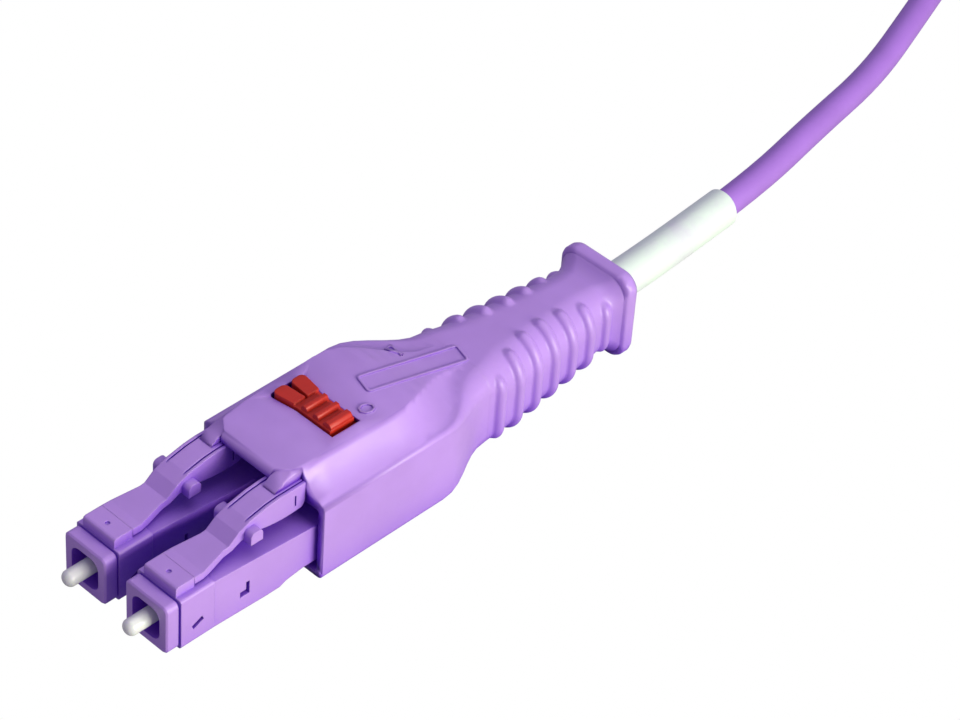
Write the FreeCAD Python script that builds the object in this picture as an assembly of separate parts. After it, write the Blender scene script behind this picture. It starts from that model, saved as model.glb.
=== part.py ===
import FreeCAD, Part
import math
import os

# Duplex LC fibre connector with one push-pull boot for both plugs, on its patch cord.
# Millimetres. X runs from the nose to the cable, Y from the near plug to the far plug, Z up.
# The model is drawn about the ferrules' plane, with X = 0 at the noses' front faces.

V = FreeCAD.Vector

# Plug, standard LC sizes
PITCH = 6.25                 # between the two ferrules' axes
FERRULE_RADIUS = 0.6245
FERRULE_REACH = 1.85         # ferrule tip in front of the nose
FERRULE_LENGTH = 6.5
FERRULE_TRAVEL = 0.9         # how far the spring lets it be pushed back
NOSE_HALF = 2.1
NOSE_LENGTH = 1.05
GROOVE_LENGTH = 0.15
GROOVE_DEPTH = 0.15
FRONT_HALF = 2.2
FRONT_END = 4.2
REAR_HALF = 2.12
PLUG_LENGTH = 16.5
PLUG_FLOOR = -2.15
REAR_TOP = 1.35              # top of the slim rear of the plug
REAR_FLOOR = -1.9
MOUTH_HALF = 1.375
MOUTH_DEPTH = 2.6
SEAT_WALL = 0.6              # wall behind the mouth that the ferrule holder rests on
CHAMBER_RADIUS = 1.08
RUNNING_GAP = 0.1
SEAT_GAP = 0.05

# Latch
LATCH_ROOT_HALF = 1.6
LATCH_HALF = 1.15
LATCH_ROOT_FRONT = 1.25
LATCH_ROOT_TOP = 3.0
HINGE_X = 2.92
HINGE_GAP = 0.04
LATCH_UNDER = 2.36           # underside of the lever above the front of the plug
PAD_TOP = 4.85               # where the boot's teeth rest
PAD_END = 13.4
RAMP_TOP = 5.45
EAR_FRONT = 7.75
EAR_LENGTH = 1.1
EAR_HALF = 1.87
EAR_FOOT = 2.97
EAR_TOP = 3.98
WEB_THICKNESS = 0.35

# Ferrule holder, spring, spring stop
HOLDER_FLANGE = 1.6
HOLDER_SHOULDER = 0.8        # radius of the shoulder that the spring pushes on
HOLDER_STEM_RADIUS = 0.5
HOLDER_LENGTH = 5.2
FIBRE_RADIUS = 0.3
FIBRE_BORE = 0.36
SPRING_WIRE = 0.15           # radius of the wire
SPRING_TURNS = 7
STOP_FRONT = 12.6
STOP_COLLAR = 0.6
STOP_COLLAR_RADIUS = 1.3
STOP_TAIL_RADIUS = 0.85
STOP_TAIL = 1.5

# Chassis and crimp
CHASSIS_WALL = 0.8
CHASSIS_END = 25.0
CHASSIS_HALF = 4.95
CHASSIS_HEIGHT = 3.9
POST_RADIUS = 1.65
POST_END = 34.0
CRIMP_WALL = 0.32
CRIMP_FRONT = 26.0
CRIMP_LENGTH = 6.0

# Boot
BOOT_TRAVEL = 1.8
HOOD_FRONT = 13.5
HOOD_END = 25.4
HOOD_HALF = 6.15
HOOD_FLOOR = -3.2
HOOD_SHOULDER = 3.6          # top of the side walls, where the flanks of the cover start
HOOD_WALL = 0.62
HOOD_CORNER = 0.35
HOOD_FOOT_RADIUS = 0.55
COVER_TOP = 5.95
COVER_THICKNESS = 0.45
COVER_FALL = 22.6            # where the cover starts to fall towards the tail
COVER_LIP_X = 11.75
COVER_LIP_HALF = 2.43
TOOTH_INNER = 2.6
TOOTH_OUTER = 3.8
TOOTH_GAP = 0.05
TAIL_FRONT = 32.0
TAIL_END = 45.6
TAIL_CENTRE = -0.3
TAIL_RADIUS = 1.75
RIB_HEIGHT = 0.3
RIB_LENGTH = 0.95
RIB_FADE = 0.8               # how far round the tail a rib takes to rise to its full height
RIB_PITCH = 1.97
RIB_FIRST = 32.6
RIB_COUNT = 7
FLANGE_FRONT = 46.9
FLANGE_LENGTH = 1.3
FLANGE_HALF_WIDTH = 3.45
FLANGE_HALF_HEIGHT = 3.8
FLANGE_RADIUS = 1.4
CRIMP_BORE = 2.3
CRIMP_BORE_END = 36.0
SLEEVE_ROOM = 0.3            # between the sleeve and the boot round it

# Polarity slider in its window
SLIDER_FRONT = 17.2
SLIDER_LENGTH = 2.3
SLIDER_NEAR = -2.6
SLIDER_FAR = 0.7
PRONG_TIP = 2.95
PRONG_WIDTH = 1.25
PRONG_FLARE = 0.35
PRONG_ROUND = 0.4
WINDOW_GAP = 0.17
SLIDER_TRAVEL = 0.25
GRIP_HALF = 0.3              # half width of the slider's grip ribs; the near one is wider

# Cable, its sleeve, and its spare length folded into a tied hank
CABLE_RADIUS = 1.175
SLEEVE_GAP = 0.1
SLEEVE_WALL = 0.275
SLEEVE_END = 63.0
HANK_CENTRE = (131.5, 4.4)
HANK_COLUMNS = 2
HANK_LAYERS = 4
HANK_RADIUS = 8.225          # middle of the turns at both ends
HANK_STRAIGHT = 15.0         # half of the straight stretch between the ends
TIE_THICKNESS = 0.4
TIE_WIDTH = 6.0

FERRULE_END = FERRULE_LENGTH - FERRULE_REACH
HOLDER_FRONT = MOUTH_DEPTH + SEAT_WALL + SEAT_GAP
RAMP_END = HOOD_FRONT + BOOT_TRAVEL + 0.2
FLOOR = TAIL_CENTRE - FLANGE_HALF_HEIGHT
CABLE_REST = FLOOR + CABLE_RADIUS
SLEEVE_RADIUS = CABLE_RADIUS + SLEEVE_GAP + SLEEVE_WALL
HANK_REST = CABLE_REST + TIE_THICKNESS
HANK_TOP_TURN = HANK_REST + 2 * CABLE_RADIUS * (HANK_LAYERS - 1)
OUTER_TURN = HANK_RADIUS + CABLE_RADIUS * (HANK_COLUMNS - 1)

# Far connector: nose away from this one, turned a little about the vertical
FAR_NOSE = (230.5, 1.0)
FAR_TURN = 174.0

# Cable centreline: out of this connector, down to the surface it lies on, to the hank
CABLE_ROUTE = [
    (POST_END, 0.0, 0.0),
    (50.0, 0.0, 0.0),
    (67.0, 1.35, -0.15),
    (77.5, 3.9, -1.1),
    (88.0, 6.3, -2.3),
    (98.5, 10.1, CABLE_REST),
    (107.0, 13.0, CABLE_REST + 0.1),
    (HANK_CENTRE[0] - HANK_STRAIGHT, HANK_CENTRE[1] + OUTER_TURN, HANK_REST),
]


def box(x0, x1, y0, y1, z0, z1):
    """Block between opposite corners."""
    return Part.makeBox(x1 - x0, y1 - y0, z1 - z0, V(x0, y0, z0))


def rod(x0, x1, y, z, radius):
    """Cylinder along X."""
    return Part.makeCylinder(radius, x1 - x0, V(x0, y, z), V(1, 0, 0))


def tube(x0, x1, y, z, outer, inner):
    """Hollow cylinder along X."""
    return rod(x0, x1, y, z, outer).cut(rod(x0 - 1, x1 + 1, y, z, inner))


def side_plate(outline, y0, y1):
    """Extrude an (x, z) outline from y0 to y1."""
    wire = Part.makePolygon([V(x, y0, z) for x, z in outline + outline[:1]])
    return Part.Face(wire).extrude(V(0, y1 - y0, 0))


def plan_plate(outline, z0, z1):
    """Extrude an (x, y) outline from z0 to z1."""
    wire = Part.makePolygon([V(x, y, z0) for x, y in outline + outline[:1]])
    return Part.Face(wire).extrude(V(0, 0, z1 - z0))


def section(x, half, low, high, top_radius, foot_radius):
    """Closed cross-section at x: a rectangle with rounded upper and lower corners."""
    corners = [
        (half, low, foot_radius, -45), (half, high, top_radius, 45),
        (-half, high, top_radius, 135), (-half, low, foot_radius, 225),
    ]
    arcs = []
    for y, z, r, turn in corners:
        cy, cz = y - math.copysign(r, y), (z + r if z == low else z - r)
        at = [
            V(x, cy + r * math.cos(math.radians(a)), cz + r * math.sin(math.radians(a)))
            for a in (turn - 45, turn, turn + 45)
        ]
        arcs.append((at[0], at[2], Part.Arc(*at).toShape()))
    edges = []
    for i, (start, end, arc) in enumerate(arcs):
        edges.append(arc)
        edges.append(Part.makeLine(end, arcs[(i + 1) % 4][0]))
    return Part.Wire(edges)


def slab(x0, x1, half, low, high, top_radius, foot_radius):
    """Straight prism of the rounded section."""
    return Part.Face(section(x0, half, low, high, top_radius, foot_radius)).extrude(V(x1 - x0, 0, 0))


def loft(wires, ruled=False):
    """Solid through a row of sections."""
    return Part.makeLoft(wires, True, ruled)


def rounded(shape, radius, wanted):
    """Fillet the edges that the test picks."""
    return shape.makeFillet(radius, [e for e in shape.Edges if wanted(e)])


def bevelled(shape, size, wanted):
    """Chamfer the edges that the test picks."""
    return shape.makeChamfer(size, [e for e in shape.Edges if wanted(e)])


def edge_at_x(x):
    """Test for edges that lie in the plane of one x."""
    def test(edge):
        return edge.BoundBox.XMax < x + 1e-3 and edge.BoundBox.XMin > x - 1e-3
    return test


def mirrored(shape):
    """The same shape for the other plug."""
    return shape.mirror(V(0, 0, 0), V(0, 1, 0))


# ---------------------------------------------------------------- plug

def plug_envelope():
    """Nose plate, groove, square front and slim rear, before the bores."""
    nose = slab(0, NOSE_LENGTH, NOSE_HALF, -NOSE_HALF, NOSE_HALF, 0.45, 0.45)
    nose = bevelled(nose, 0.13, edge_at_x(0))
    neck_half = NOSE_HALF - GROOVE_DEPTH
    neck_end = NOSE_LENGTH + GROOVE_LENGTH
    neck = slab(NOSE_LENGTH, neck_end, neck_half, -neck_half, neck_half, 0.35, 0.35)
    front = slab(neck_end, FRONT_END, FRONT_HALF, PLUG_FLOOR - 0.1, FRONT_HALF, 0.2, 0.3)
    keel = PLUG_FLOOR - 0.2
    rear = side_plate(
        [
            (FRONT_END, PLUG_FLOOR), (FRONT_END, FRONT_HALF - 0.1), (13.8, REAR_TOP),
            (PLUG_LENGTH, REAR_TOP), (PLUG_LENGTH, REAR_FLOOR), (12.4, REAR_FLOOR),
            (10.9, REAR_FLOOR - 0.2), (10.3, keel), (9.0, keel),
        ],
        -REAR_HALF, REAR_HALF,
    )
    return nose.fuse([neck, front, rear])


def latch_root():
    """The fixed stub that the latch springs from, with its small dimple."""
    root = side_plate(
        [
            (LATCH_ROOT_FRONT, FRONT_HALF - 0.1), (LATCH_ROOT_FRONT, LATCH_ROOT_TOP - 0.2),
            (LATCH_ROOT_FRONT + 0.06, LATCH_ROOT_TOP - 0.06), (LATCH_ROOT_FRONT + 0.2, LATCH_ROOT_TOP),
            (HINGE_X - HINGE_GAP / 2, LATCH_ROOT_TOP),
            (HINGE_X - HINGE_GAP / 2, FRONT_HALF - 0.1),
        ],
        -LATCH_ROOT_HALF, LATCH_ROOT_HALF,
    )
    dimple = Part.makeCylinder(0.18, 0.2, V(2.05, 0, LATCH_ROOT_TOP - 0.1))
    return root.cut(dimple)


def plug_body():
    """Plug housing: square mouth, ferrule seat, spring chamber and the side windows."""
    body = plug_envelope().fuse(latch_root())
    mouth = slab(-1, MOUTH_DEPTH, MOUTH_HALF, -MOUTH_HALF, MOUTH_HALF, 0.8, 0.8)
    seat_end = MOUTH_DEPTH + SEAT_WALL
    hole = rod(MOUTH_DEPTH - 1, seat_end + 1, 0, 0, FERRULE_RADIUS + RUNNING_GAP)
    chamber = rod(seat_end, PLUG_LENGTH + 1, 0, 0, CHAMBER_RADIUS)
    slot = box(2.2, 3.2, -3, 3, -0.2, 0.2)
    slot.rotate(V(2.7, 0, 0), V(0, 1, 0), -25)
    slot.translate(V(0, 0, -0.65))
    window = box(6.6, 7.35, -3, 3, -1.0, -0.5)
    notch = box(7.15, 7.45, -3, 3, -1.0, 0.15)
    return body.cut([mouth, hole, chamber, slot, window, notch])


def latch_plate():
    """The lever's bent top plate, wide at the root and slim over the plug."""
    front = HINGE_X + HINGE_GAP / 2
    side = side_plate(
        [
            (front, LATCH_UNDER), (front, LATCH_ROOT_TOP), (3.7, LATCH_ROOT_TOP - 0.03), (6.35, 3.27),
            (7.25, 3.97), (8.3, 4.42), (9.9, PAD_TOP - 0.1), (11.0, PAD_TOP), (PAD_END, PAD_TOP),
            (PAD_END, PAD_TOP - 0.7), (10.0, PAD_TOP - 0.75), (8.4, 3.55), (6.7, 2.72), (4.4, LATCH_UNDER),
        ],
        -LATCH_ROOT_HALF, LATCH_ROOT_HALF,
    )
    right = [
        (front - 1, LATCH_ROOT_HALF), (3.7, LATCH_ROOT_HALF), (5.9, LATCH_HALF), (PAD_END + 1, LATCH_HALF),
    ]
    left = [(x, -y) for x, y in reversed(right)]
    return side.common(plan_plate(right + left, 0, 7))


def latch_ears():
    """The two catches that hook into the adapter, as one bar with rounded tops."""
    end = EAR_FRONT + EAR_LENGTH
    bar = box(EAR_FRONT, end, -EAR_HALF, EAR_HALF, EAR_FOOT, EAR_TOP)
    bar = rounded(bar, 0.4, lambda e: e.BoundBox.ZMin > EAR_TOP - 1e-3 and e.BoundBox.YLength > 1)
    inner = LATCH_HALF - 0.15
    return bar.cut(box(EAR_FRONT - 1, end + 1, -inner, inner, EAR_TOP - 0.4, EAR_TOP + 1))


def latch_web(y):
    """One side web under the pad: pointed in front, with a curved lower edge and a slit."""
    lower = Part.Arc(V(9.4, y, 3.03), V(11.4, y, 2.74), V(13.1, y, 2.8)).toShape()
    rest = Part.makePolygon([
        V(13.1, y, 2.8), V(PAD_END - 0.08, y, 3.05), V(PAD_END, y, 3.4), V(PAD_END, y, PAD_TOP - 0.1),
        V(9.8, y, PAD_TOP - 0.3), V(8.3, y, 4.1), V(7.3, y, 3.3), V(7.3, y, 3.1), V(9.4, y, 3.03),
    ])
    web = Part.Face(Part.Wire([lower] + rest.Edges)).extrude(V(0, WEB_THICKNESS, 0))
    slit = box(12.42, 12.56, y - 1, y + 1, 3.2, 4.4)
    return web.cut(slit)


def latch_lever():
    """Sprung latch lever of the far plug: plate, ears, webs, and the ramp the boot pushes on."""
    ramp = side_plate(
        [
            (PAD_END - 0.6, PAD_TOP), (PAD_END + 0.15, PAD_TOP), (RAMP_END - 0.3, RAMP_TOP),
            (RAMP_END, RAMP_TOP), (RAMP_END, RAMP_TOP - 0.55), (PAD_END, PAD_TOP - 0.7),
            (PAD_END - 0.6, PAD_TOP - 0.7),
        ],
        -LATCH_HALF, -0.12,
    )
    webs = [latch_web(-LATCH_HALF), latch_web(LATCH_HALF - WEB_THICKNESS)]
    return latch_plate().fuse([latch_ears(), ramp] + webs).removeSplitter()


def ferrule():
    """Ceramic ferrule with a rounded tip."""
    pin = rod(-FERRULE_REACH, FERRULE_END, 0, 0, FERRULE_RADIUS)
    tip = [e for e in pin.Edges if edge_at_x(-FERRULE_REACH)(e)]
    return pin.makeChamfer(0.2, 0.32, tip)


def ferrule_holder():
    """Six-sided flange with a coned front, and the stem inside the spring."""
    front, end = HOLDER_FRONT, HOLDER_FRONT + HOLDER_LENGTH
    radius = CHAMBER_RADIUS - RUNNING_GAP
    ring = [V(front, radius * math.cos(a), radius * math.sin(a)) for a in hexagon()]
    flange = Part.Face(Part.makePolygon(ring + ring[:1])).extrude(V(HOLDER_FLANGE, 0, 0))
    cone_length = HOLDER_FLANGE + 0.6
    nose, axis = V(front, 0, 0), V(1, 0, 0)
    cone = Part.makeCone(FERRULE_RADIUS + 0.2, radius + HOLDER_FLANGE, cone_length, nose, axis)
    shoulder = rod(front + HOLDER_FLANGE - 0.3, holder_shoulder_end(), 0, 0, HOLDER_SHOULDER)
    stem = rod(front + HOLDER_FLANGE, end, 0, 0, HOLDER_STEM_RADIUS)
    socket = rod(front - 1, FERRULE_END, 0, 0, FERRULE_RADIUS)
    bore = rod(front, end + 1, 0, 0, FIBRE_BORE)
    return flange.common(cone).fuse([shoulder, stem]).cut([socket, bore])


def holder_shoulder_end():
    """Rear face of the holder's shoulder, where the spring starts."""
    return max(HOLDER_FRONT + HOLDER_FLANGE, FERRULE_END) + 0.2


def hexagon():
    """Angles of a hexagon's corners."""
    return [math.radians(60 * i) for i in range(6)]


def ferrule_spring():
    """Compression spring of flat-sided wire between the holder's shoulder and the spring stop."""
    start = holder_shoulder_end() + SEAT_GAP + SPRING_WIRE
    end = STOP_FRONT - SEAT_GAP - SPRING_WIRE
    mean = CHAMBER_RADIUS - RUNNING_GAP / 2 - SPRING_WIRE
    steps = 8 * SPRING_TURNS
    wires = []
    for i in range(steps + 1):
        x, turn = start + (end - start) * i / steps, 2 * math.pi * SPRING_TURNS * i / steps
        ring = [
            V(x + dx, (mean + dr) * math.cos(turn), (mean + dr) * math.sin(turn))
            for dx, dr in ((-1, 0), (0, -1), (1, 0), (0, 1))
            for dx, dr in ((dx * SPRING_WIRE, dr * SPRING_WIRE),)
        ]
        wires.append(Part.makePolygon(ring + ring[:1]))
    return loft(wires, True)


def spring_stop():
    """Barrel pushed into the plug's rear, its collar, and the tail that the chassis holds."""
    collar_end = PLUG_LENGTH + STOP_COLLAR
    barrel = rod(STOP_FRONT, PLUG_LENGTH, 0, 0, CHAMBER_RADIUS - SEAT_GAP)
    collar = rod(PLUG_LENGTH, collar_end, 0, 0, STOP_COLLAR_RADIUS)
    tail = rod(collar_end, collar_end + STOP_TAIL, 0, 0, STOP_TAIL_RADIUS)
    bore = rod(STOP_FRONT - 1, collar_end + STOP_TAIL + 1, 0, 0, FIBRE_BORE)
    return barrel.fuse([collar, tail]).cut(bore)


# ---------------------------------------------------------------- cables

def route_wire(points):
    """Straight runs joined by tangent arcs, with the radius of each arc."""
    corners = [V(*p) for p in points]
    edges, radii, start = [], [], corners[0]
    for before, corner, after in zip(corners, corners[1:], corners[2:]):
        back, ahead = before - corner, after - corner
        shorter = min(back.Length, ahead.Length)
        half_turn = (math.pi - back.getAngle(ahead)) / 2
        reach = 0.45 * shorter
        radii.append(reach / math.tan(half_turn))
        enter = corner + back.normalize() * reach
        leave = corner + ahead.normalize() * reach
        inward = (back + ahead).normalize()
        sagitta = radii[-1] * (1 / math.cos(half_turn) - 1)
        edges.append(Part.LineSegment(start, enter).toShape())
        edges.append(Part.Arc(enter, corner + inward * sagitta, leave).toShape())
        start = leave
    edges.append(Part.LineSegment(start, corners[-1]).toShape())
    return Part.Wire(edges), radii


def cable_along(points, radius):
    """Round cable along a route."""
    wire, radii = route_wire(points)
    direction = V(*points[1]) - V(*points[0])
    profile = Part.Wire(Part.makeCircle(radius, V(*points[0]), direction))
    solid = wire.makePipeShell([profile], True, True)
    expected = wire.Length * math.pi * radius ** 2
    print("arc radii", [round(r, 1) for r in radii], "length", round(wire.Length, 1),
          "volume ratio", round(solid.Volume / expected, 4))
    return solid


def fibre_tube(side):
    """Thin tube that leads one fibre from its spring stop into the post of the chassis."""
    start = HOLDER_FRONT + HOLDER_LENGTH + FERRULE_TRAVEL + 0.3
    inner, outer = FIBRE_RADIUS + 0.03, PITCH / 2
    bend = PLUG_LENGTH + STOP_COLLAR + STOP_TAIL + 2.0
    return cable_along(
        [
            (start, side * outer, 0), (bend, side * (outer - 0.01), 0),
            (CHASSIS_END - 1.0, side * inner, 0), (POST_END - 0.3, side * (inner - 0.01), 0),
        ],
        FIBRE_RADIUS,
    )


def cable_sleeve():
    """Pale sleeve over the cable, along the cable's first bend, with a rounded end."""
    outer = cable_along(CABLE_ROUTE[:3], SLEEVE_RADIUS)
    outer = outer.common(box(POST_END, SLEEVE_END, -9, 9, -9, 9))
    outer = bevelled(outer, 0.18, lambda e: e.BoundBox.XMin > SLEEVE_END - 0.4)
    return outer.cut(cable_along(CABLE_ROUTE[:3], CABLE_RADIUS + SLEEVE_GAP))


def stadium(half_width, z0, z1):
    """Block with two straight sides along X and half-round ends."""
    x, y = HANK_CENTRE
    ends = [
        Part.makeCylinder(half_width, z1 - z0, V(x + dx, y, z0)) for dx in (-HANK_STRAIGHT, HANK_STRAIGHT)
    ]
    middle = box(x - HANK_STRAIGHT, x + HANK_STRAIGHT, y - half_width, y + half_width, z0, z1)
    return middle.fuse(ends).removeSplitter()


def cable_hank():
    """Envelope of the folded cable: long loops side by side and on each other."""
    half = CABLE_RADIUS * HANK_COLUMNS
    low, high = HANK_REST - CABLE_RADIUS, HANK_TOP_TURN + CABLE_RADIUS
    solid = stadium(HANK_RADIUS + half, low, high).cut(stadium(HANK_RADIUS - half, low - 1, high + 1))
    return bevelled(solid, CABLE_RADIUS * 0.5, lambda e: e.BoundBox.ZLength < 1e-3)


def cable_tie():
    """Flat band round the middle of the hank."""
    x, y = HANK_CENTRE
    half = HANK_RADIUS + CABLE_RADIUS * HANK_COLUMNS
    low, high = HANK_REST - CABLE_RADIUS, HANK_TOP_TURN + CABLE_RADIUS
    t = TIE_THICKNESS
    outer = box(x - TIE_WIDTH / 2, x + TIE_WIDTH / 2, y - half - t, y + half + t, low - t, high + t)
    outer = bevelled(outer, t, lambda e: e.BoundBox.XLength > TIE_WIDTH / 2)
    return outer.cut(box(x - TIE_WIDTH, x + TIE_WIDTH, y - half, y + half, low, high))


def at_far_end(shape):
    """Turn a piece of this connector into the same piece of the far connector."""
    moved = shape.copy()
    moved.rotate(V(0, 0, 0), V(0, 0, 1), FAR_TURN)
    moved.translate(V(FAR_NOSE[0], FAR_NOSE[1], 0))
    return moved


def far_point(point):
    """A point of this connector's frame, carried to the far connector."""
    turn = math.radians(FAR_TURN)
    x, y, z = point
    return (
        FAR_NOSE[0] + x * math.cos(turn) - y * math.sin(turn),
        FAR_NOSE[1] + x * math.sin(turn) + y * math.cos(turn),
        z,
    )


def far_route():
    """Centreline from the hank's top turn down into the far connector's sleeve."""
    start = (HANK_CENTRE[0] + HANK_STRAIGHT, HANK_CENTRE[1] + OUTER_TURN, HANK_TOP_TURN)
    over_end = (start[0] + 9.5, start[1] - 1.2, HANK_TOP_TURN - 0.8)
    return [start, over_end] + [far_point(p) for p in reversed(CABLE_ROUTE[:3])]


def cable_end():
    """Cable from the hank to the end face of the far connector's sleeve."""
    whole = cable_along(far_route(), CABLE_RADIUS)
    return whole.cut(at_far_end(box(-9, SLEEVE_END, -9, 9, -9, 9)))


def second_connector():
    """The connector on the cable's far end, with closed outer shapes only."""
    sleeve = cable_along(CABLE_ROUTE[:3], SLEEVE_RADIUS)
    flange_end = FLANGE_FRONT + FLANGE_LENGTH
    shapes = {
        "boot": [boot_skin().fuse([raised_cover(), end_flange(), cover_lip()]).cut(slider_window())],
        "cable_sleeve": [sleeve.common(box(flange_end, SLEEVE_END, -9, 9, -9, 9))],
        "plug_body_pair": [on_plug(plug_envelope().fuse(latch_root()), side) for side in (-1, 1)],
        "latch_lever_pair": [on_plug(latch_lever(), side) for side in (-1, 1)],
        "ferrule_pair": [on_plug(rod(-FERRULE_REACH, 0, 0, 0, FERRULE_RADIUS), side) for side in (-1, 1)],
    }
    boot_shape, plugs = shapes["boot"][0], shapes["plug_body_pair"]
    inner = box(HOOD_FRONT, PLUG_LENGTH + 1, -9, 9, -9, 9)
    shapes["polarity_slider"] = [polarity_slider().cut(boot_shape)]
    shapes["plug_body_pair"] = [plug.cut(inner) for plug in plugs]
    shapes["latch_lever_pair"] = [lever.cut(boot_shape.fuse(inner)) for lever in shapes["latch_lever_pair"]]
    return {f"second_{name}": at_far_end(Part.makeCompound(solids)) for name, solids in shapes.items()}


# ---------------------------------------------------------------- chassis

def chassis_half(side):
    """Tray (side -1) or lid (side 1) of the chassis that holds both spring stops."""
    front = PLUG_LENGTH + STOP_COLLAR
    half_height = CHASSIS_HEIGHT / 2
    shell = slab(front, CHASSIS_END, CHASSIS_HALF, -half_height, half_height, 0.4, 0.4)
    room = slab(
        front + CHASSIS_WALL * 2, CHASSIS_END - CHASSIS_WALL, CHASSIS_HALF - CHASSIS_WALL,
        CHASSIS_WALL - half_height, half_height - CHASSIS_WALL, 0.3, 0.3,
    )
    tails = [
        rod(front - 1, front + 4 * CHASSIS_WALL, y, 0, STOP_TAIL_RADIUS + SEAT_GAP)
        for y in (-PITCH / 2, PITCH / 2)
    ]
    keep = box(front - 1, CHASSIS_END + 1, -9, 9, min(0, side * 9), max(0, side * 9))
    hole_radius = 2 * FIBRE_RADIUS + SEAT_GAP * 2
    exit_hole = rod(CHASSIS_END - 2, POST_END + 1, 0, 0, hole_radius)
    mouth = V(CHASSIS_END - CHASSIS_WALL - 0.1, 0, 0)
    funnel = Part.makeCone(hole_radius * 1.8, hole_radius, 1.6, mouth, V(1, 0, 0))
    if side < 0:
        shell = shell.common(keep).fuse(rod(CHASSIS_END - CHASSIS_WALL, POST_END, 0, 0, POST_RADIUS))
        return shell.cut([room, exit_hole, funnel] + tails)
    seat = rod(CHASSIS_END - CHASSIS_WALL - 1, CHASSIS_END + 1, 0, 0, POST_RADIUS + SEAT_GAP / 2)
    return shell.common(keep).cut([room, seat] + tails)


# ---------------------------------------------------------------- boot

def ease(t):
    """Smooth step from 0 to 1 with level ends."""
    return (1 - math.cos(math.pi * min(max(t, 0), 1))) / 2


def tail_half(x):
    """Half width and half height of the tail between its ribs."""
    t = (x - TAIL_FRONT) / (TAIL_END - TAIL_FRONT)
    return 3.9 - 1.15 * t, 3.62 - 0.72 * t


def boot_half(x):
    """Half width of the boot's skin along the hood, its shoulder and the tail."""
    width = tail_half(max(x, TAIL_FRONT))[0]
    return HOOD_HALF + (width - HOOD_HALF) * ease((x - HOOD_END) / (TAIL_FRONT - HOOD_END))


def boot_section(x, inset=0.0):
    """Cross-section of the boot's skin, or of the room inside it at an inset."""
    t = ease((x - HOOD_END) / (TAIL_FRONT - HOOD_END))
    height = tail_half(max(x, TAIL_FRONT))[1]
    half = boot_half(x) - inset
    low = HOOD_FLOOR + (TAIL_CENTRE - height - HOOD_FLOOR) * t + inset
    high = HOOD_SHOULDER + (TAIL_CENTRE + height - HOOD_SHOULDER) * t - inset
    top = HOOD_CORNER + (TAIL_RADIUS - HOOD_CORNER) * t
    foot = HOOD_FOOT_RADIUS + (TAIL_RADIUS - HOOD_FOOT_RADIUS) * t
    return section(x, half, low, high, max(top - inset, 0.2), max(foot - inset, 0.2))


def boot_skin():
    """Hood, swept shoulder, tapered tail and neck in one outer form."""
    steps = 7
    length = TAIL_FRONT - HOOD_END
    hood = Part.Face(boot_section(HOOD_FRONT)).extrude(V(HOOD_END - HOOD_FRONT, 0, 0))
    shoulder = loft([boot_section(HOOD_END + length * i / steps) for i in range(steps + 1)], True)
    tail = loft([boot_section(TAIL_FRONT), boot_section(TAIL_END)], True)
    return hood.fuse([shoulder, tail, neck()])


def neck():
    """Concave neck that opens out to the end flange."""
    width, height = tail_half(TAIL_END)
    mouth = FLANGE_FRONT - TAIL_END
    wires = []
    for i in range(4):
        t = (i / 3) ** 2
        half = width + (FLANGE_HALF_WIDTH - 0.3 - width) * t
        tall = height + (FLANGE_HALF_HEIGHT - 0.3 - height) * t
        wires.append(section(TAIL_END + mouth * i / 3, half, TAIL_CENTRE - tall, TAIL_CENTRE + tall,
                             TAIL_RADIUS - 0.3 * t, TAIL_RADIUS - 0.3 * t))
    return loft(wires, True)


def banded(x0, outline, half, tall, radius):
    """Ring or plate along X with soft edges: (distance from x0, growth) pairs of its outline."""
    wires = []
    for along, grow in outline:
        wires.append(section(x0 + along, half + grow, TAIL_CENTRE - tall - grow,
                             TAIL_CENTRE + tall + grow, radius + grow, radius + grow))
    return loft(wires, True)


def end_flange():
    """Rounded plate that the fingers pull on."""
    soft = [(0, -0.3), (0.1, -0.09), (0.3, 0), (FLANGE_LENGTH - 0.4, 0), (FLANGE_LENGTH - 0.12, -0.12),
            (FLANGE_LENGTH, -0.4)]
    return banded(FLANGE_FRONT, soft, FLANGE_HALF_WIDTH, FLANGE_HALF_HEIGHT, FLANGE_RADIUS)


def smooth_band(x):
    """Half width of the ribless band along the top of the tail."""
    half_run = RIB_PITCH * (RIB_COUNT - 1) / 2
    off_middle = (x - RIB_FIRST - half_run) / half_run
    return 1.2 + (2.2 if off_middle < 0 else 1.2) * off_middle ** 2


def grip_ring(x):
    """One ring round the tail with a rounded crest."""
    width, height = tail_half(x)
    crest = [(-0.5, -0.04), (-0.3, 0.8), (0, 1), (0.3, 0.8), (0.5, -0.04)]
    outline = [(RIB_LENGTH * along, RIB_HEIGHT * rise) for along, rise in crest]
    return banded(x, outline, width, height, TAIL_RADIUS)


def grip_ribs():
    """Rounded ribs round both sides of the tail, fading out beside the smooth bands."""
    ribs = []
    for i in range(RIB_COUNT):
        x = RIB_FIRST + RIB_PITCH * i
        inner, tall = smooth_band(x), tail_half(x)[1]
        full = tall + 1.1 * RIB_HEIGHT
        corners = [(inner, tall), (inner + RIB_FADE, full), (9, full),
                   (9, -full), (inner + RIB_FADE, -full), (inner, -tall)]
        for side in (-1, 1):
            reach = [V(x - RIB_LENGTH, side * y, TAIL_CENTRE + z) for y, z in corners]
            prism = Part.Face(Part.makePolygon(reach + reach[:1])).extrude(V(2 * RIB_LENGTH, 0, 0))
            ribs.append(grip_ring(x).common(prism))
    return ribs


def ridge_half(x):
    """Half width of the raised cover along the boot."""
    return 4.05 - 0.3 * ease((22.0 - x) / 7.0) - 2.75 * ease((x - 22.0) / 8.5)


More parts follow.
